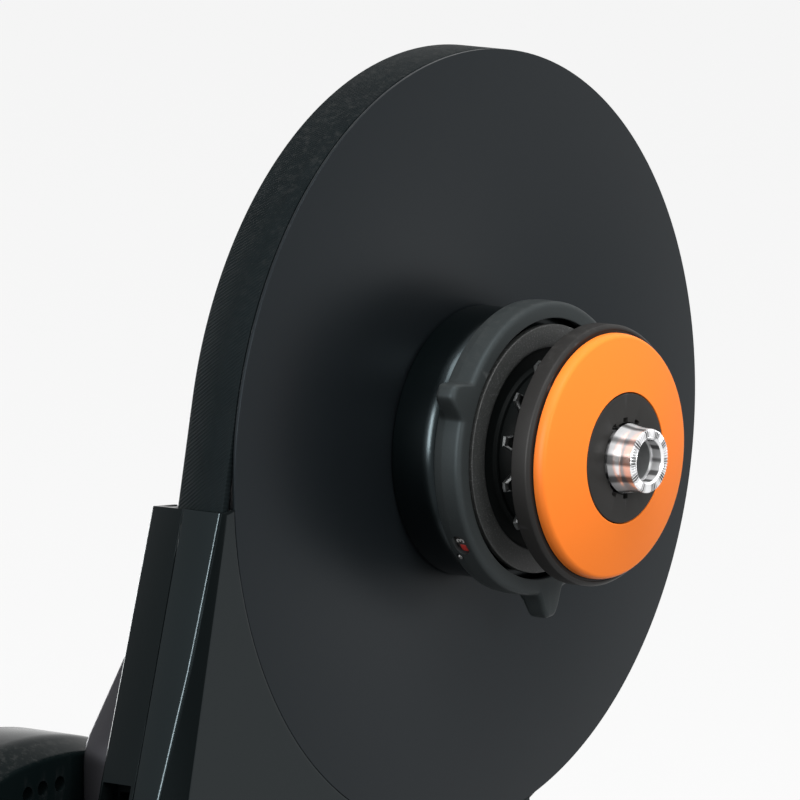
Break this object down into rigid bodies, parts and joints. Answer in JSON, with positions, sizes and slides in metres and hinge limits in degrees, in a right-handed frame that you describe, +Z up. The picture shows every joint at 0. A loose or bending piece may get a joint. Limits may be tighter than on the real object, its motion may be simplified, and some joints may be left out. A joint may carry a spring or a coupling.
{
  "type": "direct drive bike trainer",
  "caption": "Direct drive bike trainer: freehub with one sprocket unit on a big belt pulley, ribbed belt to a braked flywheel, on a frame with two cross legs.",
  "frame": {"origin": "on the floor, under the middle of the whole object's box; the hub axis is 340 mm above it and 30 mm forward of it", "axes": "+X to the drive side along the hub axis, +Y forward (where the bike points), +Z up"},
  "size_m": [0.585, 0.508, 0.457],
  "materials": {
    "frame_paint": "satin black powder coat on cast aluminium",
    "leg_paint": "satin black powder coat on steel tube",
    "gloss_black": "polished black plastic",
    "satin_black": "satin black plastic",
    "disc_black": "satin black anodised plate",
    "soft_black": "soft-touch grained dark grey plastic",
    "orange": "satin orange plastic",
    "chrome": "polished plated steel",
    "steel": "turned steel",
    "cast_grey": "bare cast aluminium",
    "flywheel_black": "gloss black enamel on steel",
    "winding": "enamelled copper wire on a laminated core",
    "rubber": "black rubber",
    "belt_rubber": "ribbed belt with a woven back",
    "white": "white plastic under a printed scale",
    "board": "green solder mask",
    "lens": "clear plastic"
  },
  "bodies": {
    "root": {"main_frame": "frame_paint", "front_leg": "leg_paint", "rear_leg": "leg_paint", "front_leg_bolt": "steel", "rear_leg_bolt": "steel", "front_leg_cap_left": "rubber", "front_leg_cap_right": "rubber", "rear_leg_cap_left": "rubber", "rear_leg_cap_right": "rubber", "rear_foot_left": "rubber", "rear_foot_right": "rubber", "hub_axle": "steel", "drive_end_cap": "chrome", "non_drive_end_cap": "chrome", "hub_bearing_inner": "steel", "hub_bearing_outer": "steel", "freehub_bearing_inner": "steel", "freehub_bearing_outer": "steel", "flywheel_bearing_inner": "steel", "flywheel_bearing_outer": "steel", "belt": "belt_rubber", "belt_cover": "satin_black", "belt_guard": "satin_black", "tensioner_bolt": "steel", "brake_stator": "winding", "electronics_case": "satin_black", "circuit_board": "board", "power_inlet": "satin_black", "status_lens": "lens", "speed_sensor": "satin_black"},
    "flywheel_set": {"flywheel": "flywheel_black", "flywheel_shaft": "steel", "flywheel_nut": "steel", "small_pulley": "steel"},
    "pulley_set": {"drive_pulley": "cast_grey", "pulley_face": "disc_black", "pulley_hub": "steel", "hub_cover": "gloss_black", "ratchet_ring": "steel"},
    "freehub_set": {"freehub_body": "steel", "freehub_seal": "rubber", "cog_carrier": "soft_black", "index_ring": "white", "centre_cap": "satin_black"},
    "adjuster_set": {"adjuster_ring": "soft_black", "index_ball": "chrome"},
    "sprocket_set": {"inner_guide": "soft_black", "inner_spacer": "satin_black", "sprocket": "steel", "outer_spacer": "satin_black", "outer_guide": "satin_black", "front_ring": "orange"},
    "pawl_one": {"pawl_1": "steel"},
    "pawl_two": {"pawl_2": "steel"},
    "pawl_three": {"pawl_3": "steel"},
    "tensioner": {"tensioner_arm": "cast_grey", "idler_pin": "steel"},
    "idler": {"idler_pulley": "satin_black"},
    "left_foot": {"levelling_foot_left": "rubber"},
    "right_foot": {"levelling_foot_right": "rubber"}
  },
  "joints": [
    {"name": "flywheel_spin", "type": "hinge", "parent": "root", "child": "flywheel_set", "pos_m": [0, -0.11693, 0.15023], "axis": [1, 0, 0], "continuous": true},
    {"name": "pulley_spin", "type": "hinge", "parent": "root", "child": "pulley_set", "pos_m": [0, 0.03, 0.34], "axis": [1, 0, 0], "continuous": true},
    {"name": "freehub_spin", "type": "hinge", "parent": "pulley_set", "child": "freehub_set", "pos_m": [0, 0.03, 0.34], "axis": [1, 0, 0], "continuous": true},
    {"name": "adjuster_turn", "type": "hinge", "parent": "freehub_set", "child": "adjuster_set", "pos_m": [0, 0.03, 0.34], "axis": [1, 0, 0], "range_deg": [-60, 60]},
    {"name": "sprocket_slide", "type": "slide", "parent": "freehub_set", "child": "sprocket_set", "axis": [1, 0, 0], "range_m": [-0.003, 0.003]},
    {"name": "tensioner_swing", "type": "hinge", "parent": "root", "child": "tensioner", "pos_m": [0, -0.02805, 0.16265], "axis": [-1, 0, 0], "range_deg": [0, 8], "stiffness_Nm_per_rad": 2, "springref_deg": -5.73},
    {"name": "idler_spin", "type": "hinge", "parent": "tensioner", "child": "idler", "pos_m": [0, -0.00005, 0.18465], "axis": [1, 0, 0], "continuous": true},
    {"name": "pawl_one_swing", "type": "hinge", "parent": "freehub_set", "child": "pawl_one", "pos_m": [0, 0.0456, 0.34], "axis": [-1, 0, 0], "range_deg": [0, 14], "stiffness_Nm_per_rad": 0.001, "springref_deg": -8.59},
    {"name": "pawl_two_swing", "type": "hinge", "parent": "freehub_set", "child": "pawl_two", "pos_m": [0, 0.0222, 0.35351], "axis": [-1, 0, 0], "range_deg": [0, 14], "stiffness_Nm_per_rad": 0.001, "springref_deg": -8.59},
    {"name": "pawl_three_swing", "type": "hinge", "parent": "freehub_set", "child": "pawl_three", "pos_m": [0, 0.0222, 0.32649], "axis": [-1, 0, 0], "range_deg": [0, 14], "stiffness_Nm_per_rad": 0.001, "springref_deg": -8.59},
    {"name": "left_foot_slide", "type": "slide", "parent": "root", "child": "left_foot", "axis": [0, 0, -1], "range_m": [0, 0.008]},
    {"name": "right_foot_slide", "type": "slide", "parent": "root", "child": "right_foot", "axis": [0, 0, -1], "range_m": [0, 0.008]}
  ],
  "couplings": [
    {"joint": "pulley_spin", "follows": "flywheel_spin", "ratio": 0.125},
    {"joint": "idler_spin", "follows": "flywheel_spin", "ratio": -1.2924},
    {"joint": "sprocket_slide", "follows": "adjuster_turn", "m_per_rad": 0.00286}
  ]
}
